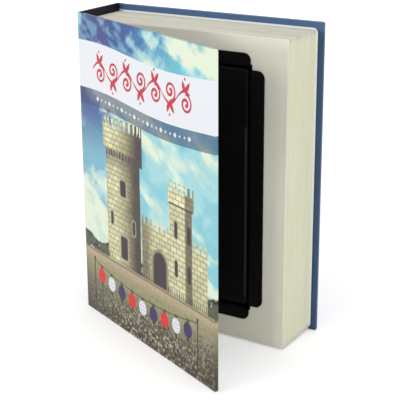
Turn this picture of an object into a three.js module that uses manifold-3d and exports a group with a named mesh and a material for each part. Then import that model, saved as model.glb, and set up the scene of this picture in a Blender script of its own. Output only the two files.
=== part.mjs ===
// A book safe: a hardback case and a glued block of leaves with a keyed steel box let into it.
// Millimetres, +Z up. The book stands on its tail; the covers face -Y (front) and +Y (back).
// Sizes are those of the closed book, measured from the front lower corner of its spine.
import * as THREE from "three";
import { mergeVertices } from "three/addons/utils/BufferGeometryUtils.js";
import Module from "manifold-3d";

const wasm = await Module();
wasm.setup();

// Closed book, and how far the front cover stands open
const bookHeight = 265;
const bookWidth = 200;
const bookThickness = 58;
const coverOpenDegrees = 24.5;

// Case: greyboards, the cover paper round them and the endpapers on their inside
const boardThickness = 2;
const paperThickness = 0.3;
const pasteGap = 0.1;
const turnInWidth = 15;
const endpaperMargin = 5.2;
const endpaperTailMargin = 1.5;
const endpaperCornerRadius = 4;
const jointWidth = 8;
const foldGap = 0.4;
const coverCornerRadius = 2;

// Block of leaves inside the case
const blockClearance = 3.8;
const foreEdgeSquare = 6.6;
const headSquare = 6.6;
const tailSquare = 1.5;
const spineHollow = 0.3;
const liningThickness = 0.6;
const liningInset = 6;

// Steel box let into the leaves
const boxToSpine = 30.9;
const boxToForeEdge = 31.8;
const boxRise = 2.5;
const boxHeight = 205;
const boxDepth = 40;
const sheetThickness = 1;
const bendRadius = 0.8;
const endFlangeWidth = 9.7;
const sideFlangeWidth = 11.8;
const endFlangeSetback = 0.5;
const sideFlangeSetback = 3.4;
const flangeCornerRadius = 6;
const boxFit = 0.8;

// Lid, a pressed pan with a rounded rim, hung inside the mouth of the box
const lidGap = 1.5;
const lidRecess = 1;
const lidSkirt = 9.4;
const lidEdgeRadius = 2.6;
const lidCornerRadius = 3.2;

// Lid hinge: two headed pins riveted through the end walls, with a washer each
const pinRadius = 2;
const pinHeadRadius = 2.9;
const pinHeadThickness = 1.3;
const pinFromLidEdge = 5.3;
const pinFromLidFace = 5.6;
const runningGap = 0.25;
const washerRadius = 3.6;
const seatGap = 0.3;

// Cam lock in the lid
const lockFromFreeEdge = 44.2;
const lockBezelRadius = 9;
const lockBezelThickness = 1.8;
const lockBezelChamfer = 0.5;
const lockBodyRadius = 7.9;
const lockBodyFlats = 14;
const lockBodyLength = 14;
const plugRadius = 5.3;
const plugHeadRadius = 6.4;
const plugHeadRecess = 1;
const keywayHeight = 7;
const keywayWidth = 1.4;
const keywayDepth = 9;
const nutAcrossFlats = 19;
const nutThickness = 3.4;
const lockWasherThickness = 0.8;
const lockWasherRadius = 10.2;
const camThickness = 1.8;
const camLength = 43;
const camHubRadius = 7;
const camTipRadius = 4.5;
const tailAcrossFlats = 6;
const screwRadius = 1.9;
const screwLength = 8;
const screwHeadRadius = 3.9;
const screwHeadHeight = 2.4;
const screwSlotWidth = 1;
const screwSlotDepth = 1;

// Keeper, a small angle welded inside the box wall, which the cam turns behind
const keeperHeight = 24;
const keeperReach = 6;
const keeperThickness = 1.4;
const keeperDepth = 9;
const keeperPlay = 1.2;

// How far a cutting shape runs past what it cuts, and how finely rounds are drawn
const overrun = 1;
const roundSides = 28;
const cornerSteps = 4;

// Places worked out from the sizes above
const half = Math.PI / 2;
const wrapThickness = paperThickness + pasteGap;
const turnInFace = wrapThickness + boardThickness + wrapThickness;
const coverThickness = turnInFace + wrapThickness;
const jointFoldThickness = 2 * paperThickness;
const jointStack = jointFoldThickness + pasteGap + paperThickness;
const jointStart = paperThickness + foldGap;
const jointEnd = jointWidth - foldGap / 2;
const coverStart = jointWidth + foldGap / 2;
const spineBoardEdge = jointStack + foldGap;

const blockLeft = turnInFace + spineHollow + liningThickness + pasteGap;
const blockRight = bookWidth - foreEdgeSquare;
const blockBottom = tailSquare;
const blockTop = bookHeight - headSquare;
const blockFront = coverThickness + blockClearance;
const blockBack = bookThickness - coverThickness - pasteGap;

const boxRight = blockRight - boxToForeEdge;
const boxLeft = blockLeft + boxToSpine;
const boxWidth = boxRight - boxLeft;
const boxBottom = (blockBottom + blockTop - boxHeight) / 2 + boxRise;
const boxTop = boxBottom + boxHeight;
const boxFront = blockFront - pasteGap - sheetThickness;
const boxBack = boxFront + boxDepth;
const bendEnd = boxFront + sheetThickness + bendRadius;
const leavesSplit = boxBack + pasteGap;

const mouthLeft = boxLeft + sheetThickness;
const mouthRight = boxRight - sheetThickness;
const mouthBottom = boxBottom + sheetThickness;
const mouthTop = boxTop - sheetThickness;
const lidLeft = mouthLeft + lidGap;
const lidRight = mouthRight - lidGap;
const lidBottom = mouthBottom + lidGap;
const lidTop = mouthTop - lidGap;
const lidFace = boxFront + lidRecess;
const lidBack = lidFace + lidSkirt;
const pinX = lidLeft + pinFromLidEdge;
const pinY = lidFace + pinFromLidFace;

const lockX = lidRight - lockFromFreeEdge;
const lockZ = (lidBottom + lidTop) / 2;
const lockBodyEnd = lidFace + lockBodyLength;
const lockWasherFront = lidFace + sheetThickness + pasteGap;
const nutFront = lockWasherFront + lockWasherThickness + pasteGap;
const camFront = lockBodyEnd + seatGap;
const camBack = camFront + camThickness;
const keeperFront = camFront - keeperPlay - keeperThickness;

// Middle of the base of the whole part as it stands, which is its origin
const coverOpen = THREE.MathUtils.degToRad(coverOpenDegrees);
const baseX = bookWidth / 2;
const baseY = (bookThickness - bookWidth * Math.sin(coverOpen)) / 2;

// A closed geometry as a solid that can be joined and cut
function solid(geometry) {
  geometry.deleteAttribute("normal");
  geometry.deleteAttribute("uv");
  const merged = mergeVertices(geometry.index ? geometry.toNonIndexed() : geometry);
  return new wasm.Manifold(new wasm.Mesh({
    numProp: 3,
    vertProperties: new Float32Array(merged.attributes.position.array),
    triVerts: new Uint32Array(merged.index.array),
  }));
}

// A named mesh of a solid in its own material
function piece(name, body, material) {
  const { vertProperties, triVerts } = body.getMesh();
  const geometry = new THREE.BufferGeometry();
  geometry.setAttribute("position", new THREE.BufferAttribute(new Float32Array(vertProperties), 3));
  geometry.setIndex(new THREE.BufferAttribute(new Uint32Array(triVerts), 1));
  geometry.computeVertexNormals();
  const mesh = new THREE.Mesh(geometry, material);
  mesh.name = name;
  return mesh;
}

// A box between two corners, given in either order
function between([x0, y0, z0], [x1, y1, z1]) {
  const box = new THREE.BoxGeometry(Math.abs(x1 - x0), Math.abs(y1 - y0), Math.abs(z1 - z0));
  return solid(box.translate((x0 + x1) / 2, (y0 + y1) / 2, (z0 + z1) / 2));
}

// An outline drawn in X and Z, carried along Y from one depth to another
function slab(outline, yFrom, yTo) {
  const settings = { depth: Math.abs(yTo - yFrom), bevelEnabled: false, curveSegments: cornerSteps };
  const geometry = new THREE.ExtrudeGeometry(outline, settings);
  return solid(geometry.rotateX(half).translate(0, Math.max(yFrom, yTo), 0));
}

// A rectangle with a radius at each corner: lower left, lower right, upper right, upper left
function rectangle(x0, z0, x1, z1, [r0, r1, r2, r3] = [0, 0, 0, 0]) {
  const outline = new THREE.Shape();
  outline.moveTo(x0 + r0, z0);
  outline.lineTo(x1 - r1, z0);
  if (r1) outline.absarc(x1 - r1, z0 + r1, r1, -half, 0);
  outline.lineTo(x1, z1 - r2);
  if (r2) outline.absarc(x1 - r2, z1 - r2, r2, 0, half);
  outline.lineTo(x0 + r3, z1);
  if (r3) outline.absarc(x0 + r3, z1 - r3, r3, half, 2 * half);
  outline.lineTo(x0, z0 + r0);
  if (r0) outline.absarc(x0 + r0, z0 + r0, r0, 2 * half, 3 * half);
  return outline;
}

// A round bar along Y, or along Z
function barY(radius, yFrom, yTo, sides = roundSides) {
  const bar = new THREE.CylinderGeometry(radius, radius, yTo - yFrom, sides);
  return solid(bar.translate(0, (yFrom + yTo) / 2, 0));
}

function barZ(radius, zFrom, zTo) {
  const bar = new THREE.CylinderGeometry(radius, radius, Math.abs(zTo - zFrom), roundSides);
  return solid(bar.rotateX(half).translate(0, 0, (zFrom + zTo) / 2));
}

// Cover parts are the same at the front and the back: depth runs inwards from the cover's outer face
const frontDepth = (depth) => depth;
const backDepth = (depth) => bookThickness - depth;

// Greyboard of a cover
function board(at) {
  const radius = coverCornerRadius - wrapThickness;
  const outline = rectangle(coverStart, wrapThickness, bookWidth - wrapThickness,
    bookHeight - wrapThickness, [0, radius, radius, 0]);
  return slab(outline, at(wrapThickness), at(wrapThickness + boardThickness));
}

// Cover paper: the outer sheet, carried round head, tail and fore edge and turned in on the inside
function coverPaper(at) {
  const radius = coverCornerRadius;
  const inner = radius - paperThickness;
  const whole = slab(rectangle(coverStart, 0, bookWidth, bookHeight, [0, radius, radius, 0]),
    at(0), at(turnInFace));
  const pocket = slab(rectangle(coverStart - overrun, paperThickness, bookWidth - paperThickness,
    bookHeight - paperThickness, [0, inner, inner, 0]),
  at(paperThickness), at(turnInFace - paperThickness));
  const window = slab(rectangle(coverStart - overrun, turnInWidth, bookWidth - turnInWidth,
    bookHeight - turnInWidth), at(turnInFace - wrapThickness), at(turnInFace + overrun));
  return whole.subtract(pocket).subtract(window);
}

// Endpaper pasted inside a cover: it fills the window between the turn-ins and laps over them, as
// far as the block of leaves reaches at the tail and a little past it at the head and fore edge
function endpaper(at) {
  const edge = turnInWidth + pasteGap;
  const middle = slab(rectangle(coverStart, edge, bookWidth - edge, bookHeight - edge),
    at(turnInFace - paperThickness), at(coverThickness));
  const radius = endpaperCornerRadius;
  const lap = slab(rectangle(coverStart, endpaperTailMargin, bookWidth - endpaperMargin,
    bookHeight - endpaperMargin, [0, radius, radius, 0]),
  at(turnInFace + pasteGap), at(coverThickness));
  return middle.add(lap);
}

// Flexible joint between spine and cover: cover paper, doubled where it is turned in at head and tail
function jointPaper(at) {
  const sheet = between([jointStart, at(0), 0], [jointEnd, at(paperThickness), bookHeight]);
  const tailFold = between([jointStart, at(0), 0], [jointEnd, at(jointFoldThickness), turnInWidth]);
  const headFold = between([jointStart, at(0), bookHeight - turnInWidth],
    [jointEnd, at(jointFoldThickness), bookHeight]);
  return sheet.add(tailFold).add(headFold);
}

// Woven lining pasted inside a joint
function jointLining(at) {
  return between([jointStart, at(jointFoldThickness + pasteGap), endpaperMargin],
    [jointEnd, at(jointStack), bookHeight - endpaperMargin]);
}

// Spine: a stiff board and the cover paper round it, open towards the joints
function spineBoard() {
  return between([wrapThickness, spineBoardEdge, wrapThickness],
    [wrapThickness + boardThickness, bookThickness - spineBoardEdge, bookHeight - wrapThickness]);
}

function spinePaper() {
  const y0 = spineBoardEdge;
  const y1 = bookThickness - spineBoardEdge;
  const outer = between([0, foldGap, 0], [paperThickness, bookThickness - foldGap, bookHeight]);
  const whole = between([0, y0, 0], [turnInFace, y1, bookHeight]);
  const pocket = between([paperThickness, y0 - overrun, paperThickness],
    [turnInFace - paperThickness, y1 + overrun, bookHeight - paperThickness]);
  const window = between([turnInFace - wrapThickness, y0 - overrun, turnInWidth],
    [turnInFace + overrun, y1 + overrun, bookHeight - turnInWidth]);
  return whole.subtract(pocket).subtract(window).add(outer);
}

// Crash cloth and kraft lining glued on the back of the block
function spineLining() {
  const x1 = blockLeft - pasteGap;
  return between([x1 - liningThickness, blockFront + pasteGap, blockBottom + liningInset],
    [x1, blockBack, blockTop - liningInset]);
}

// Leaves cut through for the box, and the whole leaves behind it
function cutLeaves() {
  const whole = between([blockLeft, blockFront, blockBottom], [blockRight, leavesSplit, blockTop]);
  const opening = between([boxLeft - boxFit, blockFront - overrun, boxBottom - boxFit],
    [boxRight + boxFit, leavesSplit + overrun, boxTop + boxFit]);
  return whole.subtract(opening);
}

function backLeaves() {
  return between([blockLeft, leavesSplit, blockBottom], [blockRight, blockBack, blockTop]);
}

// One side's flange, bent out from the wall round a radius, with rounded free corners.
// It is drawn for the fore-edge side and turned about the middle of the box for the others.
function flange(turn, span, length, width, setback) {
  const wall = span / 2;
  const centre = wall + bendRadius;
  const profile = new THREE.Shape();
  profile.moveTo(wall - sheetThickness, bendEnd + overrun);
  profile.lineTo(wall - sheetThickness, bendEnd);
  profile.absarc(centre, bendEnd, bendRadius + sheetThickness, 2 * half, 3 * half);
  profile.lineTo(wall + width, boxFront);
  profile.lineTo(wall + width, boxFront + sheetThickness);
  profile.lineTo(centre, boxFront + sheetThickness);
  profile.absarc(centre, bendEnd, bendRadius, 3 * half, 2 * half, true);
  profile.lineTo(wall, bendEnd + overrun);
  const reach = length / 2 - setback;
  const settings = { depth: 2 * reach, bevelEnabled: false, curveSegments: cornerSteps };
  const strip = solid(new THREE.ExtrudeGeometry(profile, settings).translate(0, 0, -reach));
  const radius = flangeCornerRadius;
  const tab = slab(rectangle(wall - 2 * sheetThickness, -reach, wall + width, reach,
    [0, radius, radius, 0]), boxFront - overrun, bendEnd + 2 * overrun);
  const geometry = piece("flange", strip.intersect(tab), undefined).geometry;
  geometry.rotateY(turn);
  return solid(geometry.translate((boxLeft + boxRight) / 2, 0, (boxBottom + boxTop) / 2));
}

// Box folded from sheet: floor, four walls and a flange on each, notched at the corners
function boxBody() {
  const outer = between([boxLeft, bendEnd, boxBottom], [boxRight, boxBack, boxTop]);
  const inner = between([mouthLeft, bendEnd - overrun, mouthBottom],
    [mouthRight, boxBack - sheetThickness, mouthTop]);
  let body = outer.subtract(inner);
  const side = [boxWidth, boxHeight, sideFlangeWidth, sideFlangeSetback];
  const end = [boxHeight, boxWidth, endFlangeWidth, endFlangeSetback];
  body = body.add(flange(0, ...side)).add(flange(2 * half, ...side));
  body = body.add(flange(-half, ...end)).add(flange(half, ...end));
  const hole = barZ(pinRadius + runningGap, boxBottom - overrun, boxTop + overrun);
  return body.subtract(hole.translate(pinX, pinY, 0));
}

// Hinge pin: its head bears on the lid's skirt from inside, its end is set flush in the wall
function hingePin(wallOuter, inwards) {
  const skirtInside = wallOuter + inwards * (sheetThickness + lidGap + sheetThickness + seatGap);
  const head = barZ(pinHeadRadius, skirtInside, skirtInside + inwards * pinHeadThickness);
  return barZ(pinRadius, wallOuter, skirtInside).add(head).translate(pinX, pinY, 0);
}

// Washer on the pin, between the wall and the lid's skirt
function hingeWasher(wallInner, inwards) {
  const from = wallInner + inwards * seatGap;
  const to = wallInner + inwards * (lidGap - seatGap);
  const bore = barZ(pinRadius + runningGap, from - inwards * overrun, to + inwards * overrun);
  return barZ(washerRadius, from, to).subtract(bore).translate(pinX, pinY, 0);
}

// A block whose corners and front edges are rounded, as pressed sheet is
function pressed(margin, cornerRadius, front, back, edgeRadius) {
  const corners = [cornerRadius, cornerRadius, cornerRadius, cornerRadius];
  const outline = rectangle(lidLeft + margin, lidBottom + margin, lidRight - margin,
    lidTop - margin, corners);
  const settings = {
    depth: back - front - edgeRadius,
    bevelEnabled: true,
    bevelThickness: edgeRadius,
    bevelSize: edgeRadius,
    bevelOffset: -edgeRadius,
    bevelSegments: cornerSteps,
    curveSegments: cornerSteps,
  };
  const geometry = new THREE.ExtrudeGeometry(outline, settings);
  const body = solid(geometry.rotateX(half).translate(0, back, 0));
  return body.intersect(between([lidLeft - overrun, front - overrun, lidBottom - overrun],
    [lidRight + overrun, back, lidTop + overrun]));
}

// Opening in the lid for the lock, round with two flats that stop the lock turning
function lockOpening(radius, flats, yFrom, yTo) {
  const round = barY(radius, yFrom, yTo);
  return round.intersect(between([-flats / 2, yFrom, -radius], [flats / 2, yTo, radius]));
}

// Lid: a pan with a rounded rim and a skirt
function lidPan() {
  const sheet = sheetThickness;
  const shell = pressed(0, lidCornerRadius, lidFace, lidBack, lidEdgeRadius);
  const inside = pressed(sheet, lidCornerRadius - sheet, lidFace + sheet, lidBack + overrun,
    lidEdgeRadius - sheet);
  const hole = barZ(pinRadius + runningGap, lidBottom - overrun, lidTop + overrun);
  const opening = lockOpening(lockBodyRadius + runningGap, lockBodyFlats + 2 * runningGap,
    lidFace - overrun, lidFace + sheet + overrun);
  return shell.subtract(inside).subtract(hole.translate(pinX, pinY, 0))
    .subtract(opening.translate(lockX, 0, lockZ));
}

// Lock housing: chamfered bezel and flatted body, bored for the plug
function lockHousing() {
  const front = lidFace - pasteGap - lockBezelThickness;
  const rim = lockBezelRadius;
  const profile = [
    [0, lidFace - pasteGap],
    [rim, lidFace - pasteGap],
    [rim, front + lockBezelChamfer],
    [rim - lockBezelChamfer, front],
    [0, front],
  ].map(([r, y]) => new THREE.Vector2(r, y));
  const bezel = solid(new THREE.LatheGeometry(profile.reverse(), roundSides));
  const body = lockOpening(lockBodyRadius, lockBodyFlats, front + lockBezelThickness / 2, lockBodyEnd);
  const bore = barY(plugRadius + runningGap, front - overrun, lockBodyEnd + overrun);
  const mouth = barY(plugHeadRadius + runningGap, front - overrun, front + plugHeadRecess);
  return bezel.add(body).subtract(bore).subtract(mouth).translate(lockX, 0, lockZ);
}

// Washer and hexagon nut that clamp the lock behind the lid
function lockWasher() {
  const back = lockWasherFront + lockWasherThickness;
  const bore = barY(lockBodyRadius + runningGap, lockWasherFront - overrun, back + overrun);
  return barY(lockWasherRadius, lockWasherFront, back).subtract(bore).translate(lockX, 0, lockZ);
}

function lockNut() {
  const back = nutFront + nutThickness;
  const hexagon = barY(nutAcrossFlats / 2 / Math.cos(half / 3), nutFront, back, 6);
  const bore = barY(lockBodyRadius + runningGap, nutFront - overrun, back + overrun);
  return hexagon.subtract(bore).translate(lockX, 0, lockZ);
}

// Plug that the key turns: broad face with a keyway, round shank and a square tail for the cam
function lockPlug() {
  const front = lidFace - pasteGap - lockBezelThickness;
  const headBack = front + plugHeadRecess - runningGap;
  const shankEnd = lockBodyEnd + pasteGap;
  const flat = tailAcrossFlats / 2;
  const head = barY(plugHeadRadius, front, headBack);
  const shank = barY(plugRadius, front, shankEnd);
  const tail = between([-flat, shankEnd - overrun, -flat], [flat, camBack - runningGap, flat]);
  const keyway = between([-keywayWidth / 2, front - overrun, -keywayHeight / 2],
    [keywayWidth / 2, front + keywayDepth, keywayHeight / 2]);
  const thread = barY(screwRadius + runningGap, camBack - screwLength - runningGap,
    camBack + overrun);
  return head.add(shank).add(tail).subtract(keyway).subtract(thread).translate(lockX, 0, lockZ);
}

// Cam: a flat lever on the plug's square tail, wide at the hub and rounded at the tip
function lockCam() {
  const lever = new THREE.Shape();
  const reach = camLength - camTipRadius;
  const lean = Math.asin((camHubRadius - camTipRadius) / reach);
  lever.absarc(0, 0, camHubRadius, 2 * half - lean, 4 * half + lean);
  lever.absarc(0, reach, camTipRadius, lean, 2 * half - lean);
  const flat = tailAcrossFlats / 2 + runningGap;
  const square = between([-flat, camFront - overrun, -flat], [flat, camBack + overrun, flat]);
  return slab(lever, camFront, camBack).subtract(square).translate(lockX, 0, lockZ);
}

// Slotted screw that holds the cam on the plug
function camScrew() {
  const under = camBack + seatGap;
  const top = under + screwHeadHeight;
  const shank = barY(screwRadius, camBack - screwLength, under + screwHeadHeight / 2);
  const slot = between([-screwHeadRadius - overrun, top - screwSlotDepth, -screwSlotWidth / 2],
    [screwHeadRadius + overrun, top + overrun, screwSlotWidth / 2]);
  return barY(screwHeadRadius, under, top).add(shank).subtract(slot).translate(lockX, 0, lockZ);
}

// Keeper: one leg lies on the inside of the fore-edge wall, the other is the lip the cam catches
function keeper() {
  const x1 = mouthRight - pasteGap;
  const z0 = lockZ - keeperHeight / 2;
  const z1 = lockZ + keeperHeight / 2;
  const leg = between([x1 - keeperThickness, keeperFront, z0], [x1, keeperFront + keeperDepth, z1]);
  const lip = between([x1 - keeperReach, keeperFront, z0], [x1, keeperFront + keeperThickness, z1]);
  return leg.add(lip);
}

// Finishes of the pieces
function finish(color, roughness, metalness = 0) {
  return new THREE.MeshStandardMaterial({ color, roughness, metalness });
}

const printedPaper = () => finish(0x7fa9b8, 0.28);
const bluePaper = () => finish(0x465c86, 0.38);
const whitePaper = () => finish(0xe9ebe6, 0.75);
const leaves = () => finish(0xd6d8bf, 0.85);
const greyboard = () => finish(0x8f8a80, 0.9);
const cloth = () => finish(0xd8d3c4, 0.9);
const blackSteel = () => finish(0x0c0c0d, 0.42, 0.2);
const platedSteel = () => finish(0xb9bab8, 0.3, 1);
const zincAlloy = () => finish(0xc4c5c6, 0.22, 1);

// Front cover and its joint, drawn closed and swung open together about the corner of the spine
const frontCover = new THREE.Group();
frontCover.add(
  piece("front_joint_paper", jointPaper(frontDepth), printedPaper()),
  piece("front_joint_lining", jointLining(frontDepth), cloth()),
  piece("front_board", board(frontDepth), greyboard()),
  piece("front_cover_paper", coverPaper(frontDepth), printedPaper()),
  piece("front_endpaper", endpaper(frontDepth), whitePaper()),
);
frontCover.rotation.z = -coverOpen;

const bookSafe = new THREE.Group();
bookSafe.add(
  frontCover,
  piece("spine_board", spineBoard(), greyboard()),
  piece("spine_cover_paper", spinePaper(), bluePaper()),
  piece("spine_lining", spineLining(), cloth()),
  piece("back_joint_paper", jointPaper(backDepth), bluePaper()),
  piece("back_joint_lining", jointLining(backDepth), cloth()),
  piece("back_board", board(backDepth), greyboard()),
  piece("back_cover_paper", coverPaper(backDepth), bluePaper()),
  piece("back_endpaper", endpaper(backDepth), whitePaper()),
  piece("cut_leaves", cutLeaves(), leaves()),
  piece("back_leaves", backLeaves(), leaves()),
  piece("box_body", boxBody(), blackSteel()),
  piece("lock_keeper", keeper(), blackSteel()),
  piece("hinge_pin_lower", hingePin(boxBottom, 1), platedSteel()),
  piece("hinge_pin_upper", hingePin(boxTop, -1), platedSteel()),
  piece("hinge_washer_lower", hingeWasher(mouthBottom, 1), platedSteel()),
  piece("hinge_washer_upper", hingeWasher(mouthTop, -1), platedSteel()),
  piece("lid", lidPan(), blackSteel()),
  piece("lock_housing", lockHousing(), zincAlloy()),
  piece("lock_washer", lockWasher(), platedSteel()),
  piece("lock_nut", lockNut(), platedSteel()),
  piece("lock_plug", lockPlug(), zincAlloy()),
  piece("lock_cam", lockCam(), platedSteel()),
  piece("cam_screw", camScrew(), platedSteel()),
);
bookSafe.position.set(-baseX, -baseY, 0);

export default bookSafe;
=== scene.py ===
"""A book safe in its finishes: a hardback whose leaves are cut through for a keyed steel box."""

import math

import bmesh
import bpy
import numpy as np
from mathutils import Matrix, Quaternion, Vector


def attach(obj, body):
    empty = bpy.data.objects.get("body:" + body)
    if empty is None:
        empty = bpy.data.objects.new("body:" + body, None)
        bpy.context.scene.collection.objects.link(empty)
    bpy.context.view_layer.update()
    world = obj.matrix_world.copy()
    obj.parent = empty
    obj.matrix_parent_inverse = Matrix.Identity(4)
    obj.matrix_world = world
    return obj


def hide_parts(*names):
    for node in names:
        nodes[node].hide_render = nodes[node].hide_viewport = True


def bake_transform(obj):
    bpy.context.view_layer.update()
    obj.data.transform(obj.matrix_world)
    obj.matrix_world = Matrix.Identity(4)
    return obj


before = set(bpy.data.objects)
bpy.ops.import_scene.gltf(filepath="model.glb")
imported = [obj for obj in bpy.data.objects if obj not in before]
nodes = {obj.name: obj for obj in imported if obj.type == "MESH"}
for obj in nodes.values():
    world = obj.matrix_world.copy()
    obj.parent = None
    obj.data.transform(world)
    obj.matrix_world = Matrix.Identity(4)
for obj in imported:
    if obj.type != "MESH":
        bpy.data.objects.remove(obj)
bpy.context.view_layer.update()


# The view of the photograph: a long lens a little above the head of the book, looking past the
# opened cover at the fore edge.
CAMERA_PLACE = Vector((0.47179, -0.73280, 0.41526))
CAMERA_TARGET = Vector((0.01873, 0.01247, 0.14067))
CAMERA_ROLL = math.radians(-0.308)
SENSOR_WIDTH = 36
LENS = 101.28
LENS_SHIFT = -0.06
NEAREST_SEEN = 0.01


def add_object(name, data, location=(0, 0, 0)):
    """Puts a mesh, a lamp or a camera into the scene."""
    made = bpy.data.objects.new(name, data)
    made.location = location
    bpy.context.scene.collection.objects.link(made)
    return made


def aim(made, target, roll=0.0):
    """Turns a lamp or a camera towards a target, and rolls it about its own line of sight."""
    made.rotation_mode = "QUATERNION"
    looking = (target - made.location).to_track_quat("-Z", "Y")
    made.rotation_quaternion = looking @ Quaternion((0, 0, 1), roll)


camera = add_object("camera", bpy.data.cameras.new("camera"), CAMERA_PLACE)
camera.data.sensor_width = SENSOR_WIDTH
camera.data.lens = LENS
camera.data.shift_y = LENS_SHIFT
camera.data.clip_start = NEAREST_SEEN
aim(camera, CAMERA_TARGET, CAMERA_ROLL)
bpy.context.scene.camera = camera


# Greyboards: the stiff millboard inside both covers and the spine, cut square and pasted to the
# cover paper. Only its edge shows, where a cover meets its joint.
BOARD_GREY = (196, 192, 181)
BOARD_FLECK = (164, 159, 148)


class Wire:
    """A value that runs through a material. Sums and products of wires add Math nodes."""

    def __init__(self, tree, socket=None):
        self.tree = tree
        self.socket = socket

    def node(self, kind, settings=None, sockets=None, out=0):
        """Adds a node, makes its settings, fills or links its sockets, and gives one output."""
        made = self.tree.nodes.new(kind)
        for key, value in (settings or {}).items():
            setattr(made, key, value)
        for key, value in (sockets or {}).items():
            if isinstance(value, Wire):
                self.tree.links.new(value.socket, made.inputs[key])
            else:
                made.inputs[key].default_value = value
        return Wire(self.tree, made.outputs[out])

    def output(self, key):
        """Another output of the node that this wire comes from."""
        return Wire(self.tree, self.socket.node.outputs[key])

    def math(self, operation, *values):
        """One Math node with these inputs."""
        return self.node("ShaderNodeMath", {"operation": operation}, dict(enumerate(values)))

    def __add__(self, other):
        return self.math("ADD", self, other)

    def __sub__(self, other):
        return self.math("SUBTRACT", self, other)

    def __rsub__(self, other):
        return self.math("SUBTRACT", other, self)

    def __mul__(self, other):
        return self.math("MULTIPLY", self, other)

    __radd__ = __add__
    __rmul__ = __mul__

    def between(self, low, high):
        """0 below low, 1 above high, and a smooth rise from one to the other."""
        return self.node(
            "ShaderNodeMapRange",
            {"interpolation_type": "SMOOTHSTEP"},
            {"Value": self, "From Min": low, "From Max": high},
        )

    def mix(self, first, second):
        """The first colour where this wire is 0 and the second where it is 1."""
        return self.node(
            "ShaderNodeMix", {"data_type": "RGBA"}, {0: self, 6: first, 7: second}, out=2
        )

    def axes(self):
        """The three coordinates of this place, each on a wire of its own."""
        split = self.node("ShaderNodeSeparateXYZ", {}, {0: self})
        return [split.output(k) for k in range(3)]

    def stretch(self, x, y, z):
        """This place with each of its axes multiplied."""
        return self.node(
            "ShaderNodeVectorMath", {"operation": "MULTIPLY"}, {0: self, 1: (x, y, z)}
        )

    def noise(self, size, detail=2.0):
        """Soft noise over this place, with lumps of this size in metres, from 0 to 1."""
        return self.node(
            "ShaderNodeTexNoise", {}, {"Vector": self, "Scale": 1 / size, "Detail": detail}
        )

    def mark(self, name, out="Fac"):
        """The values of this name that the mesh carries on its points."""
        return self.node("ShaderNodeAttribute", {"attribute_name": name}, out=out)

    def bump(self, depth, strength):
        """A normal from this height, where 1 stands this deep in metres."""
        return self.node(
            "ShaderNodeBump", {}, {"Height": self, "Distance": depth, "Strength": strength}
        )


def light_of(values):
    """Screen values of 0 to 255 as the light they stand for."""
    part = np.clip(np.asarray(values) / 255, 0, 1)
    return np.where(part <= 0.04045, part / 12.92, ((part + 0.055) / 1.055) ** 2.4)


def shade(red, green, blue):
    """A screen colour as the colour of a socket."""
    return (*light_of((red, green, blue)).tolist(), 1.0)


def finish(name):
    """Starts a material, and gives it with the wire of the place on its piece."""
    material = bpy.data.materials.new(name)
    material.use_nodes = True
    return material, Wire(material.node_tree).node("ShaderNodeTexCoord", out="Object")


def lay(material, sockets):
    """Sets or links these sockets of the material's shader."""
    shader = material.node_tree.nodes["Principled BSDF"]
    for key, value in sockets.items():
        if isinstance(value, Wire):
            material.node_tree.links.new(value.socket, shader.inputs[key])
        else:
            shader.inputs[key].default_value = value


def dress(material, *names):
    """Puts a finish on nodes of the frame."""
    for name in names:
        nodes[name].data.materials.clear()
        nodes[name].data.materials.append(material)


greyboard, place = finish("greyboard")
fibres = place.noise(0.0006, detail=3)
lay(greyboard, {
    "Base Color": fibres.between(0.42, 0.66).mix(shade(*BOARD_GREY), shade(*BOARD_FLECK)),
    "Roughness": 0.9,
    "Normal": fibres.bump(0.0001, 0.5),
})
dress(greyboard, "front_board", "back_board", "spine_board")


# Blue cover paper: a printed, satin laminated sheet carried over the spine, the back joint and the
# back cover. It is turned in round the boards, with small round corners and softly rounded edges.
METRE = 1000
BOOK_WIDTH, BOOK_HEIGHT, BOOK_THICKNESS = 200.0, 265.0, 58.0
SPINE_AWAY, FRONT_AWAY = 100.0, 12.4693
COVER_CORNER = 2.0
COVER_EDGE_ROUND = 0.5
EDGE_MARGIN = 0.3
RIM = COVER_EDGE_ROUND + EDGE_MARGIN
TURN_IN = 15.0
TURN_IN_FACE = 2.8
JOINT_FACE = 0.6
PAPER = 0.3
EDGE_LAP, EDGE_SUNK, EDGE_EASED = 1.2, 0.03, 0.1
BOARD_START = 8.2
CORNER = 0.5
WELD, TINY = 2e-6, 1e-6
BLUE = (46, 72, 109)
BLUE_WORN = (60, 88, 127)
BLUE_PAINTED_LIGHT = (72, 100, 141)
BLUE_PAINTED_HIGHLIGHT = (110, 138, 174)
BLUE_PAINTED_SHADOW = (26, 42, 60)
RUB_AND_SHEEN = (168, 182, 202)


def book(along, deep, up):
    """Metres of a place given in millimetres from the outer lower front corner of the spine."""
    along, deep, up = np.broadcast_arrays(along, deep, up)
    return np.stack([along - SPINE_AWAY, deep + FRONT_AWAY, up], -1) / METRE


def back(along, deep, up):
    """The same for the back cover, whose depth runs inwards from its outer face."""
    return book(along, BOOK_THICKNESS - np.asarray(deep), up)


def grid(points, outward, at=(0, 0), round_rows=False, round_columns=False):
    """Corners and quads of a surface given as rows of points, turned so that its quad at a row and
    column looks along outward."""
    rows, columns = points.shape[:2]
    r, c = np.meshgrid(
        np.arange(rows if round_rows else rows - 1),
        np.arange(columns if round_columns else columns - 1),
        indexing="ij",
    )
    r2, c2 = (r + 1) % rows, (c + 1) % columns
    quads = np.stack([r * columns + c, r * columns + c2, r2 * columns + c2, r2 * columns + c], -1)
    corners = points.reshape(-1, 3)
    a, b, d = (corners[quads[at][k]] for k in (0, 1, 3))
    if np.dot(np.cross(b - a, d - a), outward) < 0:
        quads = quads[..., ::-1]
    return corners, quads.reshape(-1, 4)


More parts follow.
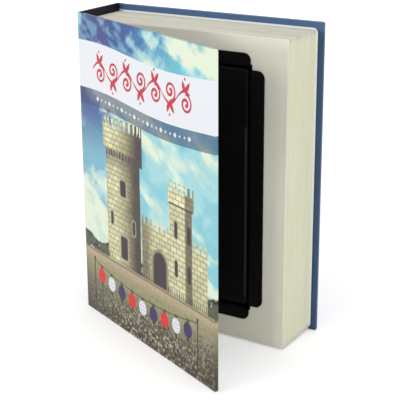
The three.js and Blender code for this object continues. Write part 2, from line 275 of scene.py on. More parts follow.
def mesh_of(name, corners, faces, marks, repair, crease, material):
    """A mesh in its finish, smooth except at edges sharper than the crease. Marks are values on
    its points, by name: one number each, or a colour. The repair is a step on its bmesh."""
    mesh = bpy.data.meshes.new(name)
    mesh.from_pydata(corners.tolist(), [], faces)
    for mark, values in marks.items():
        if values.ndim == 1:
            mesh.attributes.new(mark, "FLOAT", "POINT").data.foreach_set("value", values)
        else:
            tint = np.concatenate([values, np.ones((len(values), 1))], 1).ravel()
            mesh.attributes.new(mark, "FLOAT_COLOR", "POINT").data.foreach_set("color", tint)
    built = bmesh.new()
    built.from_mesh(mesh)
    repair(built)
    built.to_mesh(mesh)
    built.free()
    mesh.shade_smooth()
    mesh.set_sharp_from_angle(angle=math.radians(crease))
    mesh.materials.append(material)
    return mesh


def weld(built):
    """Joins points that lie on each other, and removes faces and edges of no size."""
    bmesh.ops.remove_doubles(built, verts=built.verts, dist=WELD)
    bmesh.ops.dissolve_degenerate(built, edges=built.edges, dist=TINY)


def piece(name, parts, material, stands_for=(), crease=40, marks=None):
    """A piece made of one or more grids, and in place of the nodes it stands for."""
    faces, count = [], 0
    for points, quads in parts:
        faces += (quads + count).tolist()
        count += len(points)
    corners = np.concatenate([points for points, _ in parts])
    mesh = mesh_of(name, corners, faces, marks or {}, weld, crease, material)
    made = add_object(name, mesh)
    if stands_for:
        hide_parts(*stands_for)
    return made


def quarter_round(radius, steps=5):
    """Inset from a wall and depth below a face, along a quarter circle from face to wall."""
    turn = np.linspace(0, math.pi / 2, steps + 1)
    return np.stack([radius * (1 - np.sin(turn)), radius * (1 - np.cos(turn))], -1)


def turned_in(thickness, radius):
    """Inset and depth of cover paper from the outer face round an edge to its cut end inside."""
    edge = quarter_round(radius)
    return np.concatenate([
        [[radius + EDGE_LAP, EDGE_SUNK], [radius + EDGE_MARGIN, 0.0]],
        edge,
        [[0, radius + EDGE_EASED / 2], [0, thickness - radius - EDGE_EASED / 2]],
        edge[::-1] * [1, -1] + [0, thickness],
        [[radius + EDGE_EASED, thickness], [TURN_IN - EDGE_EASED, thickness],
         [TURN_IN, thickness - EDGE_EASED], [TURN_IN, thickness - PAPER]],
    ])


def three_sides(inset, step):
    """A line inside the tail, fore edge and head of a cover, this far from its edges. Its corners
    are round, and square where it is further in than their radius."""
    middle = max(inset, COVER_CORNER)
    radius = max(COVER_CORNER - inset, 0)
    level = np.linspace(0, 1, round(BOOK_WIDTH / step))
    climb = np.linspace(0, 1, round(BOOK_HEIGHT / step))
    turn = np.linspace(0, math.pi / 2, 8)[1:-1]
    right, top = BOOK_WIDTH - middle, BOOK_HEIGHT - middle
    along = [BOARD_START + level * (right - BOARD_START), right + radius * np.sin(turn),
             0 * climb + BOOK_WIDTH - inset, right + radius * np.cos(turn),
             right + level * (BOARD_START - right)]
    up = [0 * level + inset, middle - radius * np.cos(turn), middle + climb * (top - middle),
          top + radius * np.sin(turn), 0 * level + BOOK_HEIGHT - inset]
    return np.concatenate(along), np.concatenate(up)


def cover_face(spacing):
    """Distances from the spine and the tail of a cover's face, in squares of this spacing that
    reach to the rounding of its edges. Points beyond a round corner are pulled in onto it."""
    along = np.linspace(BOARD_START, BOOK_WIDTH - RIM, round((BOOK_WIDTH - BOARD_START) / spacing))
    up = np.linspace(RIM, BOOK_HEIGHT - RIM, round(BOOK_HEIGHT / spacing))
    up, along = np.meshgrid(up, along, indexing="ij")
    right, middle = BOOK_WIDTH - COVER_CORNER, BOOK_HEIGHT / 2
    high = middle - COVER_CORNER
    over_along = np.maximum(along - right, 0)
    over_up = np.maximum(np.abs(up - middle) - high, 0)
    reach = np.maximum(np.hypot(over_along, over_up), TINY)
    scale = np.minimum(1, (COVER_CORNER - RIM) / reach)
    beyond = (over_along > 0) & (over_up > 0)
    pulled = middle + np.sign(up - middle) * (high + over_up * scale)
    return np.where(beyond, right + over_along * scale, along), np.where(beyond, pulled, up)


def cover_skin(lie, outward, spacing):
    """Grids of the paper round a cover, its face and its turn-ins, with the distances from the
    spine and the tail of all their points."""
    along, up = cover_face(spacing)
    rows = [(*three_sides(inset, 2 * spacing), deep)
            for inset, deep in turned_in(TURN_IN_FACE, COVER_EDGE_ROUND)]
    edge_along, edge_up = (np.array([row[k] for row in rows]) for k in (0, 1))
    edge_deep = np.array([row[2] for row in rows])[:, None]
    face = grid(lie(along, 0.0, up), outward)
    edges = grid(lie(edge_along, edge_deep, edge_up), outward, at=(1, 5))
    flat_along = np.concatenate([along.ravel(), edge_along.ravel()])
    flat_up = np.concatenate([up.ravel(), edge_up.ravel()])
    return [face, edges], flat_along, flat_up


def folded_strip(lie, along, thickness, outward, rows=4):
    """Grid of a strip of cover paper over the joint or the spine, turned in at tail and head. It
    runs over these places along the book."""
    radius = min(COVER_EDGE_ROUND, thickness / 2)
    fold = turned_in(thickness, radius)[2:]
    tail = fold[::-1]
    middle = np.linspace(radius + 1, BOOK_HEIGHT - radius - 1, rows)
    up = np.concatenate([tail[:, 0], middle, BOOK_HEIGHT - fold[:, 0]])
    deep = np.concatenate([tail[:, 1], 0 * middle, fold[:, 1]])
    points = lie(np.asarray(along)[None, :], deep[:, None], up[:, None])
    made = grid(points, outward, at=(len(tail) + 1, 0))
    return [made], np.broadcast_to(along, points.shape[:2]).ravel(), np.repeat(up, len(along))


def edge_wear_and_sheen(place):
    """Up to 1 along the outer edges of the closed cover and 0 on its faces, softly uneven: edge
    wear, partly a painted sheen. An edge is where two of the distances to the three nearest faces
    of the book are small."""
    lows = book(0, 0, 0).tolist()
    highs = book(BOOK_WIDTH, BOOK_THICKNESS, BOOK_HEIGHT).tolist()
    a, b, c = (along.math("MINIMUM", along - low, high - along)
               for along, low, high in zip(place.axes(), lows, highs))
    wide = a.math("MINIMUM", a.math("MAXIMUM", a, b), c)
    gap = a.math("MAXIMUM", a.math("MINIMUM", a, b), wide)
    painted_sheen = 0.35 + 0.65 * place.noise(0.03, detail=5).between(0.35, 0.7)
    return gap.between(0.0012, 0.0001) * painted_sheen


def laminate(place, grain):
    """The normal of laminated paper: its fine grain over a slow waviness."""
    return (grain * 0.6 + place.noise(0.004) * 0.4).bump(0.00006, 0.6)


# Painted light and shade: the inner side of the back cover's head turn-in is painted paler, palest
# at the turned edge, and darkened by painted shade near the fore edge.
blue_paper, place = finish("blue cover paper")
grain = place.noise(0.0005, detail=3)
cloudy = place.noise(0.03)
tint = (cloudy * 0.35 + grain * 0.65).between(0.3, 0.9).mix(shade(*BLUE), shade(*BLUE_WORN))
width, thickness, height = place.axes()
inner_side = thickness.between(0.07045, 0.0700)
# Painted light: the head turn-in is paler, palest at its turned edge.
tint = (height.between(0.2556, 0.2590) * inner_side).mix(tint, shade(*BLUE_PAINTED_LIGHT))
tint = (height.between(0.2642, 0.2650) * inner_side).mix(tint, shade(*BLUE_PAINTED_HIGHLIGHT))
# Painted shade: the turn-in is darker near the fore edge.
crease = width.between(0.0970, 0.0948) * height.between(0.2598, 0.2578)
tint = (crease * thickness.between(0.0690, 0.0680) * 0.6).mix(tint, shade(*BLUE_PAINTED_SHADOW))
# The outer edges are lightened by wear and a painted sheen.
lay(blue_paper, {
    "Base Color": (edge_wear_and_sheen(place) * 0.16).mix(tint, shade(*RUB_AND_SHEEN)),
    "Specular IOR Level": 0.35,
    "Roughness": 0.34 + 0.16 * cloudy,
    "Normal": laminate(place, grain),
    "Coat Weight": 0.15,
})

parts, _, _ = cover_skin(back, (0, 1, 0), 6.0)
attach(piece("back_cover_wrap", parts, blue_paper, ["back_cover_paper"]), "book")

parts, _, _ = folded_strip(back, np.linspace(CORNER, BOARD_START, 6), JOINT_FACE, (0, 1, 0))
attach(piece("back_joint_wrap", parts, blue_paper, ["back_joint_paper"]), "book")


# Spine: a square board in the same sheet, here printed a darker navy, with a rounded corner to
# each joint.
SPINE_START = 1.2
CORNER_TUCK = 0.02
NAVY = (12, 16, 30)
NAVY_WORN = (27, 30, 44)

spine_paper, place = finish("navy spine paper")
grain = place.noise(0.0005, detail=3)
tint = (place.noise(0.03) * 0.4 + grain * 0.6).between(0.35, 0.9)
tint = tint.mix(shade(*NAVY), shade(*NAVY_WORN))
# The outer edges are lightened by wear and a painted sheen.
lay(spine_paper, {
    "Base Color": (edge_wear_and_sheen(place) * 0.08).mix(tint, shade(*RUB_AND_SHEEN)),
    "Roughness": 0.4 + 0.1 * grain,
    "Specular IOR Level": 0.2,
    "Normal": laminate(place, grain),
})


def spine_lie(along, deep, up):
    """The spine's own way of giving places: along its width, in from its outer face, and up."""
    return book(deep, along, up)


across = np.linspace(SPINE_START, BOOK_THICKNESS - SPINE_START, 12)
parts, _, _ = folded_strip(spine_lie, across, TURN_IN_FACE, (-1, 0, 0))
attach(piece("spine_wrap", parts, spine_paper, ["spine_cover_paper"]), "book")


def corner_skin(lie):
    """A strip of paper round a corner of the spine, from where the spine's sheet starts to where
    the joint's does: a quarter round with its inner side, from tail to head, where it is tucked."""
    turn = np.linspace(0, math.pi / 2, 7)
    outer_along = np.concatenate([[0, 0], CORNER * (1 - np.cos(turn))])
    outer_deep = np.concatenate([[SPINE_START, 1.5 * CORNER], CORNER * (1 - np.sin(turn))])
    along = np.concatenate([outer_along, np.maximum(outer_along, PAPER)[::-1]])
    deep = np.concatenate([outer_deep, np.maximum(outer_deep, PAPER)[::-1]])
    up = np.array([0, CORNER_TUCK, 40, 90, 140, 190, 240, BOOK_HEIGHT - CORNER_TUCK, BOOK_HEIGHT])
    tuck = np.isin(up, (0, BOOK_HEIGHT))[:, None] * CORNER_TUCK
    return lie(along + tuck, deep + tuck, up[:, None])


made = grid(corner_skin(back), (-1, 0, 0), at=(3, 0), round_columns=True)
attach(piece("back_corner_wrap", [made], spine_paper), "book")


# Printed front cover: the same sheet with a full picture on it, gloss laminated. A sky with
# clouds, an old stone keep, a gravel path, a white band with a vine and a row of lanterns.
COVER_OPEN = math.radians(24.5)
BEND_START = 7.6
PRINT_SPACING = 0.82
HORIZON = 60.0
STONE_HEIGHT, STONE_LENGTH = 4.4, 8.2
GATE, GATE_SPRING, GATE_HALF = 123, 80, 9.5
KEEP, TOWER, TOWER_RADIUS = 154, 68, 27.0
BAND_LOW, BAND_HIGH, BAND_WAVE = 201.0, 241.0, 2.6
STRIP_HEIGHT = 14.0
VINE_START, VINE_LENGTH, VINE_BENDS = 24, 148, 7
DIAMOND_START, DIAMOND_STEP, DIAMONDS = 27, 6.5, 22
FIRST_POST, LAST_POST, POST_TOP = 16.0, 176.0, 49.0
LANTERNS, LANTERN_STEP = 9, 16.8
LANTERN_HALF_WIDE, LANTERN_HALF_TALL = 5.9, 6.6
RIB_STEP = 3.3
FAR_OUTSIDE = -8.0
SKY_DEEP, SKY_BLUE, SKY_LIGHT, SKY_LOW = (
    (60, 72, 136), (44, 96, 162), (110, 194, 213), (150, 212, 220))
CLOUD_THIN, CLOUD_WHITE, CLOUD_BLUE = (190, 230, 230), (232, 243, 219), (120, 190, 206)
HEDGE_GREEN, HEDGE_DARK, HEDGE_LIT = (92, 96, 74), (44, 46, 38), (196, 200, 160)
STONE_DARK, STONE_TINT, STONE_LIT = (46, 38, 40), (168, 161, 122), (241, 240, 192)
STONE_JOINT = (84, 72, 66)
PATH_FAR, PATH_MIDDLE, PATH_NEAR, PATH_LAST = (
    (190, 172, 140), (158, 152, 116), (126, 124, 96), (98, 88, 74))
PEBBLE_DARK, PEBBLE_LIT, VIGNETTE = (50, 42, 37), (218, 208, 182), (62, 56, 42)


def opened(along, deep, up):
    """Metres of a place in the front cover as it stands open, turned about the spine's corner."""
    along, deep, up = np.broadcast_arrays(along, deep, up)
    x = -SPINE_AWAY + along * math.cos(COVER_OPEN) + deep * math.sin(COVER_OPEN)
    y = FRONT_AWAY - along * math.sin(COVER_OPEN) + deep * math.cos(COVER_OPEN)
    return np.stack([x, y, up], -1) / METRE


def rise(values, low, high):
    """0 below low, 1 above high, smooth between."""
    part = np.clip((values - low) / (high - low), 0, 1)
    return part * part * (3 - 2 * part)


def clouds(u, z, width, height, seed, octaves=5):
    """Soft random heights from 0 to 1: random values on a lattice of cells, eased between, with
    each finer octave at half the size and half the weight."""
    total, weight = 0, 0
    for octave in range(octaves):
        table = np.random.default_rng(seed + octave).random((61, 67))
        a, b = u / width * 2**octave + 11.3 * octave, z / height * 2**octave + 5.7 * octave
        i, j = np.floor(a).astype(int), np.floor(b).astype(int)
        p, q = rise(a - i, 0, 1), rise(b - j, 0, 1)
        i2, j2, i, j = (i + 1) % 61, (j + 1) % 67, i % 61, j % 67
        low = table[i, j] * (1 - p) + table[i2, j] * p
        high = table[i, j2] * (1 - p) + table[i2, j2] * p
        total = total + (low * (1 - q) + high * q) * 0.5**octave
        weight += 0.5**octave
    return total / weight


def plain(tint, places):
    """One colour for all of these places."""
    return np.tile(np.asarray(tint, float), (len(places), 1))


def over(under, tint, amount):
    """A tint laid over colours, as much as the amount says."""
    tint = np.asarray(tint, float)
    return under + (tint - under) * np.clip(amount, 0, 1)[:, None]


def sky(u, z):
    """Deep blue in the upper left, paler to the right and down, under three sizes of cloud."""
    across, down = u / BOOK_WIDTH, BOOK_HEIGHT - z
    picture = plain(SKY_DEEP, u)
    picture = over(picture, SKY_BLUE, rise(across + down / 420, 0.2, 0.55))
    picture = over(picture, SKY_LIGHT, rise(across + down / 500, 0.4, 0.85))
    picture = over(picture, SKY_LOW, rise(down, 60, 125) * 0.78)
    tilt = z + 0.35 * u
    soft = clouds(u + 0.4 * z, tilt, 52, 21, 3)
    wisps = clouds(u - 0.8 * z, tilt, 17, 40, 13)
    fine = clouds(u - 0.5 * z, tilt, 7, 13, 83, 3) - 0.5
    edge = rise(16 - u, 0, 14) * rise(z, 205, 235)
    weight = 0.6 * soft + 0.4 * wisps + 0.10 * across + 0.16 * edge + 0.07 * fine
    weight = rise(weight, 0.48, 0.60)
    heavy = rise(z, 228, 262) * rise(u, 60, 110) + rise(150 - z, 0, 60)
    picture = over(picture, CLOUD_THIN, weight * (0.62 + 0.38 * np.clip(heavy + edge, 0, 1)))
    picture = over(picture, CLOUD_WHITE, rise(soft + 0.2 * heavy + 0.1 * fine, 0.57, 0.72))
    mottle = rise(clouds(u, tilt, 13, 8, 23, 4), 0.5, 0.72) * (0.2 + 0.45 * rise(z, 190, 236))
    return over(picture, CLOUD_BLUE, mottle)


def hedge(picture, u, z):
    """A row of trees and bushes of uneven height on the horizon."""
    top = HORIZON + 5 + 15 * clouds(u, 0 * u, 26, 9, 41, 4)
    leafy = clouds(u, z, 5, 5, 43, 4)
    inside = rise(top - z, -0.6, 0.6)
    picture = over(picture, HEDGE_GREEN, inside)
    picture = over(picture, HEDGE_DARK, inside * rise(leafy, 0.42, 0.6))
    return over(picture, HEDGE_LIT, rise(top - z, 1, 4) * rise(leafy, 0.62, 0.75))


def masonry(picture, bent, z, light, inside):
    """Lays stone over the picture: courses of blocks along the bent length, each block its own
    tint, with dark joints. The light runs from 0 to 1."""
    course = np.floor(z / STONE_HEIGHT)
    shifted = bent / STONE_LENGTH + 0.5 * (course % 2)
    block = np.floor(shifted)
    own = np.random.default_rng(7).random((97, 89))
    own = own[block.astype(int) % 97, course.astype(int) % 89]
    light = light * (0.86 + 0.2 * own) + 0.12 * (clouds(bent, z, 9, 9, 31, 4) - 0.5)
    stone = over(plain(STONE_DARK, z), STONE_TINT, light * 2)
    stone = over(stone, STONE_LIT, light * 2 - 1)
    below, before = z / STONE_HEIGHT - course, shifted - block
    gap = np.minimum(np.minimum(below, 1 - below) * STONE_HEIGHT,
                     np.minimum(before, 1 - before) * STONE_LENGTH)
    stone = over(stone, STONE_JOINT, 0.5 * (1 - rise(gap, 0.15, 0.7)))
    return over(picture, stone, inside)


def crown(bent, z, top, tooth=6.4, height=6.5):
    """1 below the top of a wall, and on its square teeth above it."""
    teeth = (bent / tooth) % 1 < 0.56
    return ((z < top) | ((z < top + height) & teeth)).astype(float)


def wall_and_keep(picture, u, z):
    """A toothed wall with an arched gate, and a square keep on it with four slits, lit from the
    left."""
    wall = ((u > 96) & (u < 190)).astype(float)
    light = 0.76 + 0.12 * rise(z, 60, 110) - 0.42 * rise(112 - u, -4, 10)
    picture = masonry(picture, u, z, light, wall * crown(u, z, 108))
    gate = np.hypot(u - GATE, np.maximum(z - GATE_SPRING, 0)) - GATE_HALF
    picture = over(picture, (150, 140, 112), 1 - rise(gate, 2.0, 2.8))
    picture = over(picture, (58, 47, 54), (1 - rise(gate, -0.5, 0.5)) * rise(z, 59, 62))
    for half, low, sun in ((15.5, -1, 0.90), (17.5, 137, 0.98)):
        inside = (np.abs(u - KEEP) < half) & (z > low)
        light = sun - 0.58 * rise(u, KEEP + 5, KEEP + 7)
        picture = masonry(picture, u, z, light, inside * crown(u + 3, z, 148))
    ledge = (np.abs(z - 136.2) < 1.1) & (np.abs(u - KEEP) < 16.6)
    picture = over(picture, (66, 56, 52), 0.8 * ledge)
    for x, y in ((147, 116), (147, 84), (165, 116), (165, 84)):
        slit = np.hypot(u - x, np.maximum(np.abs(z - y) - 5, 0)) - 2.2
        picture = over(picture, (54, 45, 50), 1 - rise(slit, -0.5, 0.6))
    return picture


def round_tower(picture, u, z):
    """A round tower with a wider crown on corbels and four windows. Its courses bend round it, and
    the light falls off to its right."""
    aside = np.abs(u - TOWER)
    for radius, low, top in ((TOWER_RADIUS, -1, 172), (31.0, 158, 178)):
        turn = np.arcsin(np.clip((u - TOWER) / radius, -1, 1))
        light = 0.10 + 0.86 * np.clip(np.cos(turn + 0.75), 0, 1) ** 1.25
        inside = (aside < radius) & (z > low)
        bent = radius * turn
        picture = masonry(picture, bent, z, light, inside * crown(bent + 2, z, top, 8.0, 8.0))
    bent = TOWER_RADIUS * np.arcsin(np.clip((u - TOWER) / TOWER_RADIUS, -1, 1))
    corbels = (aside < 30.5) & (z > 152.5) & (z < 158.5) & ((bent / 5) % 1 < 0.5)
    picture = over(picture, (60, 50, 48), 0.85 * corbels)
    shadow = rise(158 - z, 0, 1) * rise(z, 138, 156) * (aside < TOWER_RADIUS)
    picture = over(picture, STONE_JOINT, 0.5 * shadow)
    for x, y, half_wide, half_tall in (
        (68, 128, 4.6, 7), (49, 98, 2.0, 6), (84, 98, 2.0, 6), (68, 76, 5.5, 10),
    ):
        hole = np.hypot(np.maximum(np.abs(u - x) - half_wide + 2, 0),
                        np.maximum(np.abs(z - y) - half_tall + 2, 0)) - 2
        picture = over(picture, (188, 180, 146), 0.8 * (1 - rise(hole, 1.2, 2.0)))
        picture = over(picture, (56, 46, 52), 1 - rise(hole, -0.5, 0.5))
    return picture


def path(picture, u, z):
    """A thin fence on the horizon, and the path before it, which darkens towards the tail. Its
    gravel grows coarser and stronger towards the eye."""
    fence = (z > HORIZON - 1) & (z < HORIZON + 5) & ((u / 2.6) % 1 < 0.34)
    patchy = rise(clouds(u, z, 30, 50, 51, 2), 0.4, 0.5)
    picture = over(picture, (50, 44, 42), 0.75 * fence * patchy)
    down = HORIZON - z
    ground = over(plain(PATH_FAR, u), PATH_MIDDLE, rise(down, 3, 14))
    ground = over(ground, PATH_NEAR, rise(down, 14, 34))
    ground = over(ground, PATH_LAST, rise(down + 0.05 * (u - 60), 30, 58))
    near = np.maximum(down + 6, 1)
    gravel = clouds(u * (1 + 10 / near), 34 * np.log(near), 1.9, 1.1, 61, 2)
    drift = clouds(u + 2 * z, 40 * np.log(near), 26, 9, 71, 3)
    strength = rise(down + 30 * (drift - 0.5), 14, 46) * rise(u + 0.6 * down, 0, 110)
    strength = 0.12 + 0.88 * strength
    ground = over(ground, PEBBLE_DARK, strength * rise(0.47 - gravel, -0.02, 0.16))
    ground = over(ground, PEBBLE_LIT, 0.9 * strength * rise(gravel, 0.60, 0.76))
    ground = over(ground, VIGNETTE, 0.68 * rise(np.hypot((u - 100) / 1.3, z - 90), 75, 135))
    picture = over(picture, ground, rise(down, -0.5, 0.5))
    return over(picture, (58, 50, 44), 0.4 * (np.abs(down - 1.2) < 0.8))


def stroke(u, z, path_u, path_z, half):
    """How far inside a pen stroke each place is, in millimetres. The stroke is a row of discs."""
    inside = np.full(len(u), FAR_OUTSIDE)
    near = np.flatnonzero((u > path_u.min() - 4) & (u < path_u.max() + 4)
                          & (z > path_z.min() - 4) & (z < path_z.max() + 4))
    for part in np.array_split(near, max(1, len(near) // 4000)):
        gap = np.hypot(u[part, None] - path_u, z[part, None] - path_z) - half
        inside[part] = np.maximum(-gap.min(1), FAR_OUTSIDE)
    return inside


def dot(u, z, x, y, radius):
    """How far inside a round dot each place is."""
    return stroke(u, z, np.array([x]), np.array([y]), radius)


def vine(u, z):
    """How far inside the vine each place is: a waving stem, and at each bend a spiral, two leaves
    and a bud."""
    t = np.linspace(0, 0.966, 251)
    middle = (BAND_LOW + BAND_HIGH) / 2 + 0.5
    waves = np.sin(VINE_BENDS * math.pi * t)
    inside = stroke(u, z, VINE_START + VINE_LENGTH * t, middle + 6.4 * waves,
                    0.55 + 0.5 * np.abs(waves))
    turn = np.linspace(0.5 * math.pi, 3.4 * math.pi, 90)
    size = np.linspace(9.2, 1.6, 90)
    s = np.linspace(0, 1, 30)
    for k in range(VINE_BENDS):
        side = 1 if k % 2 == 0 else -1
        x = VINE_START + VINE_LENGTH * (k + 0.5) / VINE_BENDS
        curl_u = x + 1 - size * np.cos(turn) * 0.85
        curl_z = middle + side * (-3.2 + size * np.sin(turn) * 0.82)
        inside = np.maximum(inside, stroke(u, z, curl_u, curl_z, np.linspace(0.85, 1.35, 90)))
        for way, lean, length in ((1, 0.80, 8.6), (-1, 1.15, 7.2)):
            leaf_u = x + way * (0.6 + length * s * math.cos(lean))
            leaf_z = middle + side * (6.4 + length * s * math.sin(lean) + 1.6 * s * s)
            width = 1.75 * np.sin(math.pi * s**0.75) + 0.25 * (1 - s)
            inside = np.maximum(inside, stroke(u, z, leaf_u, leaf_z, width))
        inside = np.maximum(inside, dot(u, z, x, middle + side * 15.4, 1.15))
    return inside


def diamonds(u, z):
    """How far inside a row of small diamonds each place is, with every third one larger."""
    count = np.floor((u - DIAMOND_START) / DIAMOND_STEP)
    size = np.where(count % 3 == 0, 2.3, 1.35)
    aside = np.abs(u - DIAMOND_START - DIAMOND_STEP * (count + 0.5))
    return np.where((count >= 0) & (count < DIAMONDS), (size - aside - np.abs(z)) * 0.7,
                    FAR_OUTSIDE)


def string_height(u):
    """The lanterns' string sags once, from post to post."""
    part = (u - FIRST_POST) / (LAST_POST - FIRST_POST)
    return POST_TOP - 34 * part * (1 - part)


def lantern_places(first=0, step=1):
    """The middles of the lanterns, each hung a little under the string."""
    across = FIRST_POST + 12 + LANTERN_STEP * np.arange(first, LANTERNS, step)
    return zip(across, string_height(across) - 8.6)


def lantern(u, z, x, y):
    """How far inside the lantern in this place each place is. It is round, and a little taller
    than wide."""
    return 6.2 - 6.2 * np.hypot((u - x) / LANTERN_HALF_WIDE, (z - y) / LANTERN_HALF_TALL)


def lanterns(u, z, tint):
    """The same for the lanterns of one tint, in turns of red, white and blue."""
    inside = np.full(len(u), FAR_OUTSIDE)
    for x, y in lantern_places(tint, 3):
        inside = np.maximum(inside, lantern(u, z, x, y))
    return inside


def lantern_ribs(u, z):
    """How far inside the lanterns' level wire ribs each place is."""
    inside = np.full(len(u), FAR_OUTSIDE)
    for x, y in lantern_places():
        rib = 0.5 - np.abs((z - y) % RIB_STEP - RIB_STEP / 2)
        inside = np.maximum(inside, np.minimum(lantern(u, z, x, y), rib))
    return inside


def string_and_posts(u, z):
    """How far inside the string, its two posts with round heads, and the caps and tassels of the
    lanterns each place is."""
    t = np.linspace(FIRST_POST, LAST_POST, 400)
    inside = stroke(u, z, t, string_height(t), 0.5)
    for x in (FIRST_POST, LAST_POST):
        post = np.linspace(POST_TOP - 44, POST_TOP + 1, 90)
        inside = np.maximum(inside, stroke(u, z, 0 * post + x, post, 0.85))
        inside = np.maximum(inside, dot(u, z, x, POST_TOP + 2.2, 1.7))
    part = np.linspace(0, 1, 12)
    for x, y in lantern_places():
        for way, length, taper in ((1, 1.6, 0.0), (-1, 4.6, 1.3)):
            drop = y + way * (LANTERN_HALF_TALL + length * part)
            inside = np.maximum(inside, stroke(u, z, 0 * part + x, drop, 1.7 - taper * part))
    return inside


def printed(u, z):
    """The marks that the cover's finish reads: the picture's colour, and for each flat ink how far
    inside its shape a point lies, in millimetres, so that its outline stays sharp."""
    picture = sky(u, z)
    for layer in (hedge, wall_and_keep, round_tower, path):
        picture = layer(picture, u, z)
    wave = BAND_WAVE * np.sin(u / BOOK_WIDTH * 2 * math.pi + 0.6)
    high, low = BAND_HIGH + wave, BAND_LOW + wave
    return {
        "picture": light_of(picture),
        "ink_band": np.minimum(high - z, z - low),
        "ink_strip": np.minimum(low - z, z - low + STRIP_HEIGHT),
        "ink_vine": vine(u, z),
        "ink_red": lanterns(u, z, 0),
        "ink_white": np.maximum(lanterns(u, z, 1), diamonds(u, z - low + STRIP_HEIGHT / 2)),
        "ink_blue": lanterns(u, z, 2),
        "ink_rib": lantern_ribs(u, z),
        "ink_dark": string_and_posts(u, z),
    }


INKS = (
    ("ink_strip", (60, 70, 108), 0.72),
    ("ink_band", (234, 237, 242), 1.0),
    ("ink_dark", (58, 56, 44), 0.9),
    ("ink_blue", (62, 46, 100), 1.0),
    ("ink_white", (234, 236, 241), 1.0),
    ("ink_vine", (200, 46, 62), 1.0),
    ("ink_red", (232, 44, 44), 1.0),
    ("ink_rib", (58, 56, 60), 0.28),
)

print_paper, place = finish("printed cover paper")
tone = place.mark("picture", "Color")
speck = place.noise(0.0011)
tone = (speck.between(0.3, 0.7) * 0.012).mix(tone, shade(250, 250, 235))
tone = (speck.between(0.6, 0.3) * 0.05).mix(tone, shade(24, 26, 32))
for ink, tint, cover in INKS:
    tone = (place.mark(ink).between(-0.16, 0.16) * cover).mix(tone, shade(*tint))
_, _, height = place.axes()
# Painted shade: a dark navy line along the cover's head edge.
tone = (height.between(0.26462, 0.26492) * 0.5).mix(tone, shade(22, 32, 58))
film = place.noise(0.0035, detail=1)
lay(print_paper, {
    "Base Color": tone,
    "Roughness": 0.3 + 0.08 * film,
    "Specular IOR Level": 0.16,
    "Coat Weight": 0.08,
    "Coat Roughness": 0.1,
    "Normal": (film * 0.7 + place.noise(0.0005) * 0.3).bump(0.00004, 0.5),
})

outward = (-math.sin(COVER_OPEN), -math.cos(COVER_OPEN), 0)
parts, u, z = cover_skin(opened, outward, PRINT_SPACING)
cover_wrap = piece("front_cover_wrap", parts, print_paper, ["front_cover_paper"],
                   marks=printed(u, z))
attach(cover_wrap, "front_cover")

across = np.linspace(CORNER, BOARD_START, 12)
parts, u, z = folded_strip(opened, across, JOINT_FACE, outward, rows=330)
joint_wrap = piece("front_joint_wrap", parts, print_paper, ["front_joint_paper"],
                   marks=printed(u, z))
opened(BEND_START, 0.0, 0.0)
opened(BOARD_START, 0.0, 0.0)
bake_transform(joint_wrap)

# The front corner's strip starts on the spine and ends on the opened joint, and turns from one to
# the other on the way.
still, swung = corner_skin(book), corner_skin(opened)
depth = still[..., 1:2] * METRE - FRONT_AWAY
share = np.clip((SPINE_START - depth) / SPINE_START, 0, 1)
points = still * (1 - share) + swung * share
made = grid(points, (-1, -1, 0), at=(3, 5), round_columns=True)
corner_wrap = piece("front_corner_wrap", [made], spine_paper)
book(0.0, SPINE_START, 0.0)
opened(CORNER, 0.0, 0.0)
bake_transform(corner_wrap)


# Endpapers and linings: heavy matt white paper pasted over the turn-ins, and woven cloth in the
# joints and on the back of the leaves.
THREAD = 0.0009

endpaper, place = finish("white endpaper")
felt = place.noise(0.0007, detail=4)
lay(endpaper, {
    "Base Color": felt.between(0.3, 0.75).mix(shade(244, 246, 246), shade(236, 238, 238)),
    "Roughness": 0.82,
    "Normal": felt.bump(0.00006, 0.6),
})
dress(endpaper, "front_endpaper", "back_endpaper")

lining, place = finish("woven lining")
turns = 2 * math.pi / THREAD
warp, _, weft = place.stretch(turns, turns, turns).axes()
weave = warp.math("SINE", warp) * weft.math("SINE", weft) * 0.5 + 0.5
lay(lining, {
    "Base Color": weave.mix(shade(240, 239, 233), shade(250, 249, 245)),
    "Roughness": 0.9,
    "Normal": weave.bump(0.0001, 0.7),
})
dress(lining, "front_joint_lining", "back_joint_lining", "spine_lining")


# Book block: thin leaves glued into one block and trimmed on three sides, cut through for the box,
# with whole leaves left behind it. The edges of the leaves stand a hair proud of each other.
BLOCK = (3.8, 193.4, 1.5, 258.4)
OPENING = (33.9, 162.4, 29.15, 235.75)
CUT_DEPTH = (7.0, 46.0)
WHOLE_DEPTH = (46.0, 54.7)
CUT_CURL = 0.9
THINNEST_BUNDLE, THICKEST_BUNDLE = 0.35, 1.1
LARGEST_TRIM = 0.05
GROOVE, GROOVE_ROUND = 0.03, 0.12
LEAST_LAST_BUNDLE = 0.3
MARGIN_LAP = 0.3
LEAF_COLUMNS = 12
EDGE_CREAM = (222, 223, 198)
EDGE_LINE = (213, 212, 184)
EDGE_PAINTED_LIGHT = (241, 242, 217)
HEAD_CREAM = (218, 219, 207)
HEAD_LINE = (197, 192, 175)
PAGE = (217, 215, 198)
PAGE_PAINTED_LIGHT = (233, 231, 213)
PAGE_PAINTED_SHADE = (195, 192, 179)


